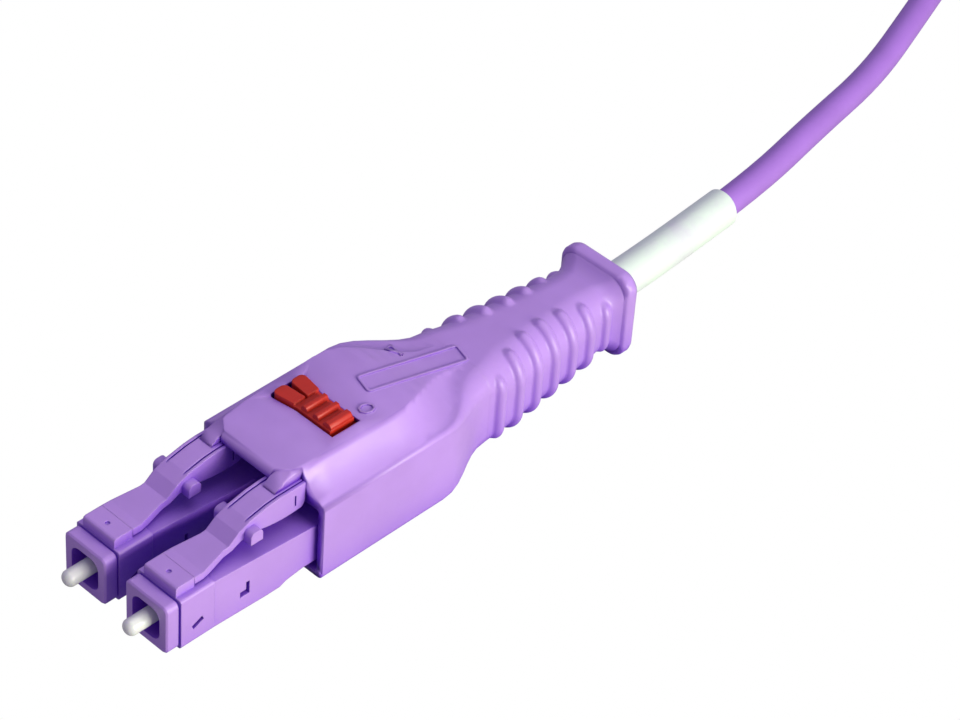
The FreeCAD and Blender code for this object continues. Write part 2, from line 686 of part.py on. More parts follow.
def cover_top(x):
    """Height of the cover: level over the window, falling a little to the lip and far to the tail."""
    tail_top = TAIL_CENTRE + tail_half(TAIL_FRONT)[1] - 0.02
    fall = ease((x - COVER_FALL) / (TAIL_FRONT - COVER_FALL))
    return COVER_TOP - (COVER_TOP - tail_top) * fall - 0.1 * ease((15.4 - x) / 2.4)


def cover_section(x):
    """Cross-section of the raised cover: a level top, and flanks that sweep out to the walls."""
    t = ease((x - HOOD_END) / (TAIL_FRONT - HOOD_END))
    ridge, top = ridge_half(x), cover_top(x)
    inset = 0.293 * (HOOD_CORNER + (TAIL_RADIUS - HOOD_CORNER) * t) + 0.03
    foot = HOOD_SHOULDER + (TAIL_CENTRE + tail_half(TAIL_FRONT)[1] - HOOD_SHOULDER) * t - inset
    reach = boot_half(x) - inset - ridge
    flank = [(0, 1), (0.12, 0.78), (0.38, 0.46), (0.7, 0.18), (1, 0)]
    right = [V(x, ridge + reach * out, foot + (top - foot) * rise) for out, rise in flank]
    right.append(V(x, ridge + reach, foot - 1))
    left = [V(x, -p.y, p.z) for p in reversed(right)]
    return Part.makePolygon(right + left + right[:1])


def raised_cover():
    """Cover on top of the hood, whose ridges draw together as it sinks into the tail."""
    steps = 7
    length = TAIL_FRONT - HOOD_END
    stations = [HOOD_FRONT, 15.4, 19.0, 21.8, 23.0, 24.2]
    stations += [HOOD_END + length * i / steps for i in range(steps + 1)]
    return loft([cover_section(x) for x in stations], True)


def cover_lip():
    """Front of the cover, which reaches over the latches and rounds down to its lip."""
    under = COVER_TOP - COVER_THICKNESS
    side = side_plate(
        [
            (HOOD_FRONT + 0.4, under), (12.7, under - 0.05), (12.15, 4.99), (COVER_LIP_X, 4.97),
            (COVER_LIP_X + 0.02, 5.4), (COVER_LIP_X + 0.14, 5.63), (COVER_LIP_X + 0.45, 5.76),
            (COVER_LIP_X + 1.1, COVER_TOP - 0.12), (15.4, COVER_TOP), (15.4, under),
        ],
        -5, 5,
    )
    right = [
        (COVER_LIP_X - 1, COVER_LIP_HALF), (COVER_LIP_X + 0.35, COVER_LIP_HALF + 0.1),
        (12.75, TOOTH_OUTER - 0.35), (HOOD_FRONT, ridge_half(HOOD_FRONT)), (15.4, ridge_half(15.4)),
    ]
    left = [(x, -y) for x, y in reversed(right)]
    return side.common(plan_plate(right + left, 4, 7))


def latch_tooth(side):
    """Tooth at one corner of the cover, with the skirt behind it; its foot rests on the latch pad."""
    foot = PAD_TOP + TOOTH_GAP
    under = COVER_TOP - COVER_THICKNESS
    inner, outer = sorted((side * TOOTH_INNER, side * TOOTH_OUTER))
    tooth = side_plate(
        [
            (10.95, foot), (11.75, foot), (12.25, under - 0.15), (HOOD_FRONT + 0.2, under),
            (HOOD_FRONT + 0.2, COVER_TOP - 0.2), (12.7, COVER_TOP - 0.25), (11.6, 5.4),
        ],
        inner, outer,
    )
    a, b = sorted((side * (TOOTH_OUTER - 0.4), side * TOOTH_OUTER))
    skirt = side_plate([(11.7, foot), (13.25, foot), (HOOD_FRONT + 0.15, under), (12.0, under)], a, b)
    return tooth.fuse(skirt)


def latch_pusher(side):
    """Hidden rib under the cover that drives the latch ramp down as the boot is pulled."""
    a, b = sorted((side * (PITCH / 2 - LATCH_HALF + 0.05), side * (PITCH / 2 - 0.17)))
    return box(12.3, HOOD_FRONT, a, b, PAD_TOP + TOOTH_GAP, COVER_TOP - COVER_THICKNESS + 0.1)


def fork_outline():
    """Plan of the slider: a block with a two-pronged fork towards the far plug."""
    x0, x1 = SLIDER_FRONT, SLIDER_FRONT + SLIDER_LENGTH
    mid, base = (x0 + x1) / 2, SLIDER_FAR + 0.3
    return [
        (x0, SLIDER_NEAR), (x1, SLIDER_NEAR), (x1, SLIDER_FAR), (x1 + PRONG_FLARE, PRONG_TIP),
        (x1 + PRONG_FLARE - PRONG_WIDTH, PRONG_TIP), (mid + 0.1, base), (mid - 0.1, base),
        (x0 - PRONG_FLARE + PRONG_WIDTH, PRONG_TIP), (x0 - PRONG_FLARE, PRONG_TIP), (x0, SLIDER_FAR),
    ]


def round_tips(plate, y):
    """Round the upright edges at the tips of the fork or of its window."""
    return rounded(plate, PRONG_ROUND, lambda e: e.BoundBox.YMin > y - 1e-3 and e.BoundBox.XLength < 1e-3)


def slider_window():
    """Opening in the cover for the slider, longer towards the near side by its travel."""
    x0, x1 = SLIDER_FRONT - WINDOW_GAP, SLIDER_FRONT + SLIDER_LENGTH + WINDOW_GAP
    near, tip = SLIDER_NEAR - WINDOW_GAP - SLIDER_TRAVEL, PRONG_TIP + WINDOW_GAP
    outline = [
        (x0, near), (x1, near), (x1, SLIDER_FAR), (x1 + PRONG_FLARE, tip), (x0 - PRONG_FLARE, tip),
        (x0, SLIDER_FAR),
    ]
    return round_tips(plan_plate(outline, COVER_TOP - 1.2, COVER_TOP + 1), tip)


def boot_room():
    """Space inside the boot for the plugs' rears, the chassis, the crimp and the sleeve."""
    rear = 29.5
    steps = 4
    length = rear - HOOD_END
    hood = Part.Face(boot_section(HOOD_FRONT - 1, HOOD_WALL)).extrude(V(HOOD_END - HOOD_FRONT + 1, 0, 0))
    throat = loft(
        [boot_section(HOOD_END + length * i / steps, HOOD_WALL + 0.25 * i) for i in range(steps + 1)], True,
    )
    half = ridge_half(HOOD_FRONT) - 0.45
    under = slab(HOOD_FRONT - 1, 22.0, half, 2, COVER_TOP - COVER_THICKNESS, 0.15, 0.15)
    crimp_room = rod(rear - 2, CRIMP_BORE_END, 0, 0, CRIMP_BORE)
    sleeve_room = rod(CRIMP_BORE_END - 1, FLANGE_FRONT + FLANGE_LENGTH + 1, 0, 0, SLEEVE_RADIUS + SLEEVE_ROOM)
    return [hood, throat, under, crimp_room, sleeve_room]


def boot():
    """The one-piece boot: hood, raised cover with lip and teeth, ribbed tail and flange."""
    skin = boot_skin().fuse([raised_cover(), end_flange()] + grip_ribs())
    hollow = skin.cut(boot_room())
    fittings = [cover_lip()]
    for side in (-1, 1):
        fittings += [latch_tooth(side), latch_pusher(side)]
    return hollow.fuse(fittings).cut(slider_window())


def polarity_slider():
    """Red slider: fork-shaped plate in the window, three grip ribs, and the flange that keeps it in."""
    top = COVER_TOP + 0.12
    under = COVER_TOP - COVER_THICKNESS
    plate = round_tips(plan_plate(fork_outline(), under - 0.05, top), PRONG_TIP)
    x0, x1 = SLIDER_FRONT - 0.45, SLIDER_FRONT + SLIDER_LENGTH + 0.45
    flange = box(x0, x1, SLIDER_NEAR - 0.35, SLIDER_FAR + 0.6, under - 0.5, under - 0.05)
    grips = []
    for i in range(3):
        half = GRIP_HALF + (0.1 if i == 0 else 0)
        y = SLIDER_NEAR + 0.42 + i * 1.15
        crest = [(y - half, top - 0.1), (y - half, top + 0.2), (y - half / 2, top + 0.42),
                 (y + half / 2, top + 0.42), (y + half, top + 0.2), (y + half, top - 0.1)]
        start = SLIDER_FRONT + 0.12
        wire = Part.makePolygon([V(start, a, b) for a, b in crest + crest[:1]])
        grips.append(Part.Face(wire).extrude(V(SLIDER_LENGTH - 0.24, 0, 0)))
    prongs = round_tips(plan_plate(fork_outline(), top - 0.1, top + 0.25), PRONG_TIP)
    prongs = prongs.common(box(SLIDER_FRONT - 2, SLIDER_FRONT + 5, SLIDER_FAR + 0.3, 9, 0, 9))
    return plate.fuse([flange, prongs] + grips)


# ---------------------------------------------------------------- the whole connector

def on_plug(shape, side):
    """Place a piece of the far plug on the plug at side 1, or its mirror image at side -1."""
    if side < 0:
        shape = mirrored(shape)
    shape = shape.copy()
    shape.translate(V(0, side * PITCH / 2, 0))
    return shape


def connector_nodes():
    """Every piece of the connector, by name."""
    nodes = {}
    per_plug = {
        "plug_body": plug_body(), "latch_lever": latch_lever(), "ferrule": ferrule(),
        "ferrule_holder": ferrule_holder(), "ferrule_spring": ferrule_spring(), "spring_stop": spring_stop(),
    }
    for name, side in (("near", -1), ("far", 1)):
        for piece, shape in per_plug.items():
            nodes[f"{name}_{piece}"] = on_plug(shape, side)
        nodes[f"{name}_fibre_tube"] = fibre_tube(side)
    nodes["chassis_tray"] = chassis_half(-1)
    nodes["chassis_lid"] = chassis_half(1)
    ring_end = CRIMP_FRONT + CRIMP_LENGTH
    nodes["crimp_ring"] = tube(CRIMP_FRONT, ring_end, 0, 0, POST_RADIUS + CRIMP_WALL, POST_RADIUS)
    nodes["boot"] = boot()
    nodes["polarity_slider"] = polarity_slider()
    nodes["cable_sleeve"] = cable_sleeve()
    return nodes


def cord_nodes():
    """The cable, its tied hank, and the connector on its far end."""
    nodes = {
        "cable": cable_along(CABLE_ROUTE, CABLE_RADIUS),
        "cable_hank": cable_hank(),
        "cable_tie": cable_tie(),
        "cable_end": cable_end(),
    }
    nodes.update(second_connector())
    return nodes


def main():
    """Build every piece, stand the connector on z = 0 about its middle, and write the files."""
    os.makedirs("parts", exist_ok=True)
    connector = connector_nodes()
    origin = V((SLEEVE_END - FERRULE_REACH) / 2, 0, FLOOR)
    for name, shape in {**connector, **cord_nodes()}.items():
        placed = shape.copy()
        placed.translate(-origin)
        placed.exportStep(f"parts/{name}.step")
        b = placed.BoundBox
        print(f"{name:26s} solids {len(placed.Solids)} valid {placed.isValid()} volume {placed.Volume:9.2f}",
              f"x {b.XMin:7.2f} {b.XMax:7.2f} y {b.YMin:6.2f} {b.YMax:6.2f} z {b.ZMin:6.2f} {b.ZMax:6.2f}")


main()
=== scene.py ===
"""Duplex LC fibre connector on its patch cord: finishes, cable, stage, light and camera.

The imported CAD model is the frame. This script dresses it: each rigid piece gets a
procedural finish, the free cable is laid as one curve, and the connector on the
cable's far end is dressed with copies of the first connector's pieces. Sizes and
places in the classes below are millimetres of the CAD drawing, and angles are
degrees, while finishes, lamps, the floor and the camera's place use metres.
"""

import logging
import math
from collections.abc import Callable
from dataclasses import dataclass, field
from enum import Enum

import bpy
from mathutils import Matrix, Vector


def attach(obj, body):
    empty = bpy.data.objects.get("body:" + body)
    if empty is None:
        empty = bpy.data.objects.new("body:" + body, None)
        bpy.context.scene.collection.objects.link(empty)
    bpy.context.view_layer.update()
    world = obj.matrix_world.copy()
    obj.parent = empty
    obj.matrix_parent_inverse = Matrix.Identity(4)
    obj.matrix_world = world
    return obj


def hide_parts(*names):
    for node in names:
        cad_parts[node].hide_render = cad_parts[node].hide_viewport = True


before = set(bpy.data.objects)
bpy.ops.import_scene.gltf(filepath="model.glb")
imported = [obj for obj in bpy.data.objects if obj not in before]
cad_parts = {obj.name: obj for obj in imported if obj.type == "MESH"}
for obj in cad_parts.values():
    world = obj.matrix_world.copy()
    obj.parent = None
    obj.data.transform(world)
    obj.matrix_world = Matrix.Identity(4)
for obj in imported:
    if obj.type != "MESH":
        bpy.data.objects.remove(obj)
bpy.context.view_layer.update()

logging.basicConfig(level=logging.INFO, format="%(message)s")
log = logging.getLogger("connector")

MM = 0.001
# The CAD model is drawn about the noses' front faces; the frame's origin lies under its middle.
ORIGIN = Vector((30.575, 0.0, -4.1))
PLUG_AXIS = 3.125  # from the middle plane to each plug's axis, in millimetres

Colour = tuple[float, float, float]
Point = tuple[float, float, float]


class Body(str, Enum):
    """CAD bodies that pieces ride on."""

    CORE = "core"
    BOOT = "boot"
    SLIDER = "polarity_slider"


class Slot(str, Enum):
    """Material slots of the record."""

    VIOLET = "violet_plastic"
    RED = "red_plastic"
    CERAMIC = "ceramic"
    SLEEVE = "white_sleeve"
    JACKET = "cable_jacket"


def place(x: float, y: float, z: float) -> Vector:
    """Turn a point of the drawing into the frame.

    Args:
        x: Millimetres behind the noses' front faces.
        y: Millimetres towards the far plug.
        z: Millimetres above the ferrules' plane.

    Returns:
        The point in the frame, in metres.
    """
    return (Vector((x, y, z)) - ORIGIN) * MM


# ---------------------------------------------------------------- finishes


class NodeChain:
    """Small helper that adds and joins shader nodes of one material."""

    def __init__(self, name: str) -> None:
        """Start an empty node material.

        Args:
            name: Name of the material.
        """
        self.material = bpy.data.materials.new(name)
        self.material.use_nodes = True
        self.tree = self.material.node_tree
        self.tree.nodes.clear()
        self.out = self.add("ShaderNodeOutputMaterial")
        self.shader = self.add("ShaderNodeBsdfPrincipled")
        self.join(self.shader, "BSDF", self.out, "Surface")
        self.coords = self.add("ShaderNodeTexCoord")

    def add(self, kind: str, **settings: object) -> bpy.types.Node:
        """Add a node.

        Args:
            kind: Node type.
            **settings: Properties to set on the node.

        Returns:
            The new node.
        """
        node = self.tree.nodes.new(kind)
        for key, value in settings.items():
            setattr(node, key, value)
        return node

    def fill(self, node: bpy.types.Node, **values: object) -> None:
        """Set inputs of a node by their names, written with _ for each space.

        Args:
            node: The node.
            **values: Value of each input.
        """
        for key, value in values.items():
            node.inputs[key.replace("_", " ")].default_value = value

    def join(
        self, a: bpy.types.Node, output: str | int, b: bpy.types.Node, entry: str | int
    ) -> None:
        """Link an output of one node to an input of another.

        Args:
            a: Node that gives.
            output: Its socket.
            b: Node that takes.
            entry: Its socket.
        """
        self.tree.links.new(a.outputs[output], b.inputs[entry])

    def noise(self, scale: float, detail: float, roughness: float = 0.5) -> bpy.types.Node:
        """Add a noise texture in object coordinates.

        Args:
            scale: Repeats a metre.
            detail: Octaves.
            roughness: Weight of the finer octaves.

        Returns:
            The noise node.
        """
        node = self.add("ShaderNodeTexNoise")
        self.fill(node, Scale=scale, Detail=detail, Roughness=roughness)
        self.join(self.coords, "Object", node, "Vector")
        return node

    def blend(
        self, source: bpy.types.Node, low: float, high: float, a: Colour, b: Colour
    ) -> bpy.types.Node:
        """Turn a noise into a mix of two colours.

        Args:
            source: Node with a "Fac" output.
            low: Noise value that gives the first colour.
            high: Noise value that gives the second colour.
            a: First colour, linear.
            b: Second colour, linear.

        Returns:
            The colour ramp node.
        """
        ramp = self.add("ShaderNodeValToRGB")
        ramp.color_ramp.elements[0].position = low
        ramp.color_ramp.elements[0].color = (*a, 1)
        ramp.color_ramp.elements[1].position = high
        ramp.color_ramp.elements[1].color = (*b, 1)
        self.join(source, "Fac", ramp, "Fac")
        return ramp

    def bump(
        self,
        height: bpy.types.Node,
        strength: float,
        distance: float,
        normal: bpy.types.Node | None = None,
    ) -> None:
        """Give the shader a bumpy normal.

        Args:
            height: Node with a "Fac" output.
            strength: Share of the bump that shows.
            distance: Height of the bump in millimetres.
            normal: Node with the "Normal" to start from, or None for the surface's own.
        """
        bump = self.add("ShaderNodeBump")
        self.fill(bump, Strength=strength, Distance=distance * MM)
        self.join(height, "Fac", bump, "Height")
        if normal is not None:
            self.join(normal, "Normal", bump, "Normal")
        self.join(bump, "Normal", self.shader, "Normal")


def shade(colour: Colour, share: float) -> Colour:
    """Scale a colour.

    Args:
        colour: Linear colour.
        share: Factor.

    Returns:
        The scaled colour, held at 1.
    """
    return tuple(min(channel * share, 1.0) for channel in colour)


@dataclass(frozen=True)
class Moulded:
    """Finish of moulded plastic: fine grain, faint flow marks, soft edges.

    flow, scuff and fine are the scales of its noises, in repeats a metre: those of the colour, the
    roughness and the grain. The optional shade colour is painted shade, laid into hollows by
    ambient occlusion.
    """

    name: str
    colour: Colour
    roughness: float = 0.42
    grain: float = 0.05
    mottle: float = 0.04
    edge: float = 0.12 * MM
    specular: float = 0.5
    subsurface: float = 0.0
    # painted shade colour for hollows; None paints no shade
    painted_shade: Colour | None = None
    wear: float = 0.06
    flow: float = 260.0
    scuff: float = 1900.0
    fine: float = 7000.0

    def material(self) -> bpy.types.Material:
        """Build the node material.

        Returns:
            The material.
        """
        chain = NodeChain(self.name)
        shader = chain.shader
        darker, lighter = shade(self.colour, 1 - self.mottle), shade(self.colour, 1 + self.mottle)
        tint = chain.blend(chain.noise(self.flow, 3.0), 0.32, 0.68, darker, lighter)
        # base colour, with painted shade mixed into hollows when a shade colour is given
        if self.painted_shade is None:
            chain.join(tint, "Color", shader, "Base Color")
        else:
            self.paint_hollow_shade(chain, tint)
        spread = chain.add("ShaderNodeMapRange")
        chain.fill(spread, To_Min=self.roughness - self.wear, To_Max=self.roughness + self.wear)
        chain.join(chain.noise(self.scuff, 2.0), "Fac", spread, "Value")
        chain.join(spread, "Result", shader, "Roughness")
        chain.fill(
            shader, Specular_IOR_Level=self.specular, Subsurface_Weight=self.subsurface,
            Subsurface_Radius=(0.6, 0.4, 1.0), Subsurface_Scale=0.4 * MM,
        )
        soften = chain.add("ShaderNodeBevel", samples=6)
        chain.fill(soften, Radius=self.edge)
        chain.bump(chain.noise(self.fine, 3.0, 0.6), self.grain, 0.03, soften)
        return chain.material

    def paint_hollow_shade(self, chain: NodeChain, tint: bpy.types.Node) -> None:
        """Paint shade into the colour: it turns to the shade colour in hollows, found by ambient
        occlusion.

        Args:
            chain: The material's nodes.
            tint: Node with the plain "Color".
        """
        # ambient occlusion marks the hollows that get painted shade
        hollow = chain.add("ShaderNodeAmbientOcclusion", samples=6)
        chain.fill(hollow, Distance=6.0 * MM)
        reach = chain.add("ShaderNodeMapRange")
        chain.fill(reach, From_Min=0.1, From_Max=0.85)
        chain.join(hollow, "AO", reach, "Value")
        depth = chain.add("ShaderNodeMix", data_type="RGBA")
        share, shade_socket, open_colour, mixed = 0, 6, 7, 2  # sockets of the colour mix
        depth.inputs[shade_socket].default_value = (*self.painted_shade, 1)
        chain.join(reach, "Result", depth, share)
        chain.join(tint, "Color", depth, open_colour)
        chain.join(depth, mixed, chain.shader, "Base Color")


@dataclass(frozen=True)
class Turned:
    """Finish of turned or drawn metal, with rings of tool marks about the plug's axis."""

    name: str
    colour: Colour
    roughness: float = 0.28
    rings: float = 450.0

    def material(self) -> bpy.types.Material:
        """Build the node material.

        Returns:
            The material.
        """
        chain = NodeChain(self.name)
        tint = chain.blend(chain.noise(900.0, 2.0), 0.3, 0.7, shade(self.colour, 0.92), self.colour)
        chain.join(tint, "Color", chain.shader, "Base Color")
        chain.fill(chain.shader, Metallic=1.0, Roughness=self.roughness)
        rings = chain.add("ShaderNodeTexWave", wave_type="BANDS", bands_direction="X")
        chain.fill(rings, Scale=self.rings, Distortion=1.5)
        chain.join(chain.coords, "Object", rings, "Vector")
        chain.bump(rings, 0.12, 0.01)
        return chain.material


@dataclass(frozen=True)
class Sleeving:
    """Finish of the pale shrink sleeve: matt, faintly uneven, with a greyer violet tone in random
    patches.
    """

    name: str
    colour: Colour
    tint: Colour

    def material(self) -> bpy.types.Material:
        """Build the node material.

        Returns:
            The material.
        """
        chain = NodeChain(self.name)
        colour = chain.blend(chain.noise(320.0, 3.0, 0.6), 0.5, 0.8, self.colour, self.tint)
        chain.join(colour, "Color", chain.shader, "Base Color")
        chain.fill(
            chain.shader, Roughness=0.6, Subsurface_Weight=0.25,
            Subsurface_Radius=(1.0, 0.9, 1.0), Subsurface_Scale=0.4 * MM,
        )
        chain.bump(chain.noise(1400.0, 4.0, 0.65), 0.25, 0.05)
        return chain.material


MOULDING = (0.42, 0.25, 0.65)
# painted shade: the darker violet painted into hollows of the moulding
PAINTED_SHADE = (0.15, 0.015, 0.62)
VIOLET = Moulded("violet_moulding", MOULDING, roughness=0.4, subsurface=0.1, painted_shade=PAINTED_SHADE)
SOFT_VIOLET = Moulded(
    "boot_moulding", MOULDING, roughness=0.4, edge=0.2 * MM, subsurface=0.1, painted_shade=PAINTED_SHADE
)
INNER = Moulded("inner_moulding", (0.30, 0.14, 0.60), roughness=0.5)
RED = Moulded("red_moulding", (0.46, 0.02, 0.008), roughness=0.4, mottle=0.06, specular=0.35)
CERAMIC = Moulded(
    "zirconia", (0.70, 0.73, 0.68), roughness=0.22, grain=0.01, mottle=0.015, edge=0.16 * MM,
    subsurface=0.2,
)
JACKET = Moulded("jacket", (0.32, 0.15, 0.55), roughness=0.48, grain=0.16, mottle=0.05)
COATING = Moulded("fibre_coating", (0.72, 0.72, 0.68), roughness=0.35, grain=0.02)
SLEEVE = Sleeving("shrink_sleeve", (0.66, 0.78, 0.68), (0.60, 0.60, 0.66))
HOLDER = Turned("nickel_silver", (0.66, 0.64, 0.6))
CRIMP = Turned("crimp_steel", (0.58, 0.58, 0.6), roughness=0.34, rings=250.0)
SPRING = Turned("spring_wire", (0.72, 0.72, 0.74), roughness=0.2, rings=700.0)

Finish = Moulded | Turned | Sleeving


class Finishes:
    """Makes each finish once and puts it on objects."""

    def __init__(self) -> None:
        """Start with no material made."""
        self.made: dict[str, bpy.types.Material] = {}

    def get(self, finish: Finish) -> bpy.types.Material:
        """Give the material of a finish.

        Args:
            finish: Finish to make or look up.

        Returns:
            The material.
        """
        if finish.name not in self.made:
            self.made[finish.name] = finish.material()
        return self.made[finish.name]

    def dress(self, obj: bpy.types.Object, finish: Finish) -> None:
        """Put a finish on every material slot of an object.

        Args:
            obj: Object to dress.
            finish: Its finish.
        """
        material = self.get(finish)
        if not obj.material_slots:
            obj.data.materials.append(material)
        for entry in obj.material_slots:
            entry.material = material
        log.info("dressed %s in %s", obj.name, finish.name)


# ---------------------------------------------------------------- modelling helpers

# soften() rounds the edges that turn more than this.
SHARP = math.radians(35)


def only(obj: bpy.types.Object) -> None:
    """Make one object the only selected one, and the active one.

    Args:
        obj: The object.
    """
    bpy.ops.object.select_all(action="DESELECT")
    obj.select_set(True)
    bpy.context.view_layer.objects.active = obj


def free_piece(name: str, kind: Callable[..., object], **settings: object) -> bpy.types.Object:
    """Add a primitive as a new piece, alone selected.

    Args:
        name: Name of the piece.
        kind: Operator that adds it.
        **settings: The operator's settings.

    Returns:
        The piece.
    """
    bpy.ops.object.select_all(action="DESELECT")
    kind(**settings)
    piece = bpy.context.view_layer.objects.active
    piece.name = name
    return piece


def weld(piece: bpy.types.Object, gap: float) -> None:
    """Merge a piece's doubled points and turn its faces outward.

    Args:
        piece: The piece.
        gap: Largest gap between doubled points, in millimetres.
    """
    only(piece)
    bpy.ops.object.mode_set(mode="EDIT")
    bpy.ops.mesh.select_all(action="SELECT")
    bpy.ops.mesh.remove_doubles(threshold=gap * MM)
    bpy.ops.mesh.normals_make_consistent(inside=False)
    bpy.ops.object.mode_set(mode="OBJECT")


def bare_copy(source: bpy.types.Object, name: str) -> bpy.types.Object:
    """Copy an object into a new, free piece.

    Args:
        source: Object to copy.
        name: Name of the piece.

    Returns:
        The piece, at the frame's origin.
    """
    only(source)
    bpy.ops.object.duplicate()
    piece = bpy.context.view_layer.objects.active
    piece.name = name
    for key in [key for key in piece.keys() if key.startswith("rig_")]:
        del piece[key]
    piece.parent = None
    piece.matrix_world = Matrix.Identity(4)
    return piece


def copy_of(node: str, name: str) -> bpy.types.Object:
    """Copy a CAD node into a new piece, with its seams welded.

    Args:
        node: CAD node to copy.
        name: Name of the piece.

    Returns:
        The piece, at the frame's origin.
    """
    piece = bare_copy(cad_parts[node], name)
    weld(piece, 0.002)
    return piece


def smooth(piece: bpy.types.Object, degrees: float) -> None:
    """Shade a piece smooth across edges flatter than an angle.

    Args:
        piece: The piece.
        degrees: Sharpest edge that is still shaded smooth.
    """
    only(piece)
    bpy.ops.object.shade_smooth_by_angle(angle=math.radians(degrees))
    bpy.ops.object.modifier_add(type="WEIGHTED_NORMAL")
    piece.modifiers[-1].keep_sharp = True
    bpy.ops.object.modifier_apply(modifier=piece.modifiers[-1].name)


def soften(piece: bpy.types.Object, width: float) -> None:
    """Round the sharp edges of a piece.

    Args:
        piece: The piece.
        width: Width of the rounding in millimetres.
    """
    only(piece)
    bpy.ops.object.modifier_add(type="BEVEL")
    rounding = piece.modifiers[-1]
    rounding.width = width * MM
    rounding.segments = 3
    rounding.limit_method = "ANGLE"
    rounding.angle_limit = SHARP
    bpy.ops.object.modifier_apply(modifier=rounding.name)


# ---------------------------------------------------------------- sub-assemblies


@dataclass
class Plug:
    """One LC plug with its latch, ferrule, holder, spring, stop and fibre."""

    side: str
    finishes: Finishes
    lever: bpy.types.Object = field(init=False)
    pin: bpy.types.Object = field(init=False)
    lever_root: Point = (2.94, 0.0, 2.9)
    root_step: float = 0.036
    groove_size: Point = (6.4, 0.13, 1.2)
    groove_middle: Point = (10.9, 0.86, 5.05)
    groove_slope: float = 3.0
    pin_ends: tuple[float, float] = (-1.85, 4.65)
    pin_radius: float = 0.6245
    pin_dome: float = 0.5

    @property
    def axis(self) -> float:
        """Place of the plug's axis across the connector, in millimetres."""
        return PLUG_AXIS if self.side == "far" else -PLUG_AXIS

    def build(self) -> None:
        """Dress the plug's pieces, and put a finer lever and ferrule in place."""
        finish_of = {
            "plug_body": VIOLET, "ferrule_holder": HOLDER, "ferrule_spring": SPRING,
            "spring_stop": INNER, "fibre_tube": COATING,
        }
        for piece, finish in finish_of.items():
            self.finishes.dress(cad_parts[f"{self.side}_{piece}"], finish)
        self.lever = self.grooved_lever()
        self.pin = self.turned_pin()

    def grooved_lever(self) -> bpy.types.Object:
        """Copy the latch lever, step its root clear of the nose and part its pad from its rails.

        Returns:
            The lever.
        """
        lever = copy_of(f"{self.side}_latch_lever", f"{self.side}_lever")
        self.settle(lever, "latch_lever", VIOLET, f"{self.side}_latch")
        root = place(*self.lever_root)
        for vertex in lever.data.vertices:
            if abs(vertex.co.x - root.x) < 0.005 * MM and vertex.co.z > root.z:
                vertex.co.x -= self.root_step * MM
        for edge in (-1, 1):
            self.groove(lever, edge)
        return lever

    def groove(self, lever: bpy.types.Object, edge: int) -> None:
        """Part the pad from the thin rail beside it.

        Args:
            lever: The latch lever.
            edge: 1 for the rail towards the far side, -1 for the other.
        """
        cutter = free_piece("groove_cutter", bpy.ops.mesh.primitive_cube_add, size=1.0)
        x, beside, z = self.groove_middle
        bpy.ops.object.mode_set(mode="EDIT")
        size = [length * MM for length in self.groove_size]
        bpy.ops.transform.resize(value=size, center_override=(0, 0, 0))
        slope = math.radians(self.groove_slope)
        bpy.ops.transform.rotate(value=slope, orient_axis="Y", center_override=(0, 0, 0))
        bpy.ops.transform.translate(value=place(x, self.axis + edge * beside, z))
        bpy.ops.object.mode_set(mode="OBJECT")
        only(lever)
        cut = lever.modifiers.new("groove", "BOOLEAN")
        cut.operation = "DIFFERENCE"
        cut.solver = "EXACT"
        cut.object = cutter
        bpy.ops.object.modifier_apply(modifier="groove")
        bpy.data.objects.remove(cutter)

    def turned_pin(self) -> bpy.types.Object:
        """Make the ferrule as a round pin with a domed tip, by drawing out a sphere.

        Returns:
            The pin.
        """
        radius = self.pin_radius * MM
        sphere = bpy.ops.mesh.primitive_uv_sphere_add
        piece = free_piece(f"{self.side}_pin", sphere, segments=48, ring_count=24, radius=radius)
        tip, rear = (place(x, self.axis, 0) for x in self.pin_ends)
        for vertex in piece.data.vertices:
            across, up, ahead = vertex.co
            if ahead > -radius * 0.01:
                depth = self.pin_dome * MM * (1 - max(ahead, 0.0) / radius)
                vertex.co = tip + Vector((depth, across, up))
            else:
                vertex.co = rear + Vector((0.0, across, up))
        only(piece)
        bpy.ops.object.mode_set(mode="EDIT")
        bpy.ops.mesh.select_all(action="SELECT")
        bpy.ops.mesh.normals_make_consistent(inside=False)
        bpy.ops.object.mode_set(mode="OBJECT")
        self.settle(piece, "ferrule", CERAMIC, f"{self.side}_ferrule_set")
        smooth(piece, 60)
        return piece

    def settle(
        self, piece: bpy.types.Object, node: str, finish: Moulded, body: str
    ) -> None:
        """Dress a piece and put it in the place of one of the plug's nodes.

        Args:
            piece: The piece.
            node: Node of the plug that it replaces.
            finish: Its finish.
            body: Body that it rides on.
        """
        self.finishes.dress(piece, finish)
        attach(piece, body)
        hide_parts(f"{self.side}_{node}")


@dataclass
class Chassis:
    """Tray, lid and crimp inside the boot."""

    finishes: Finishes

    def build(self) -> None:
        """Dress the chassis' pieces."""
        for node in ("chassis_tray", "chassis_lid"):
            self.finishes.dress(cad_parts[node], INNER)
        self.finishes.dress(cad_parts["crimp_ring"], CRIMP)


def ease(t: float) -> float:
    """Give a smooth step with level ends.

    Args:
        t: Share of the way, held between 0 and 1.

    Returns:
        The eased share.
    """
    return (1 - math.cos(math.pi * min(max(t, 0.0), 1.0))) / 2


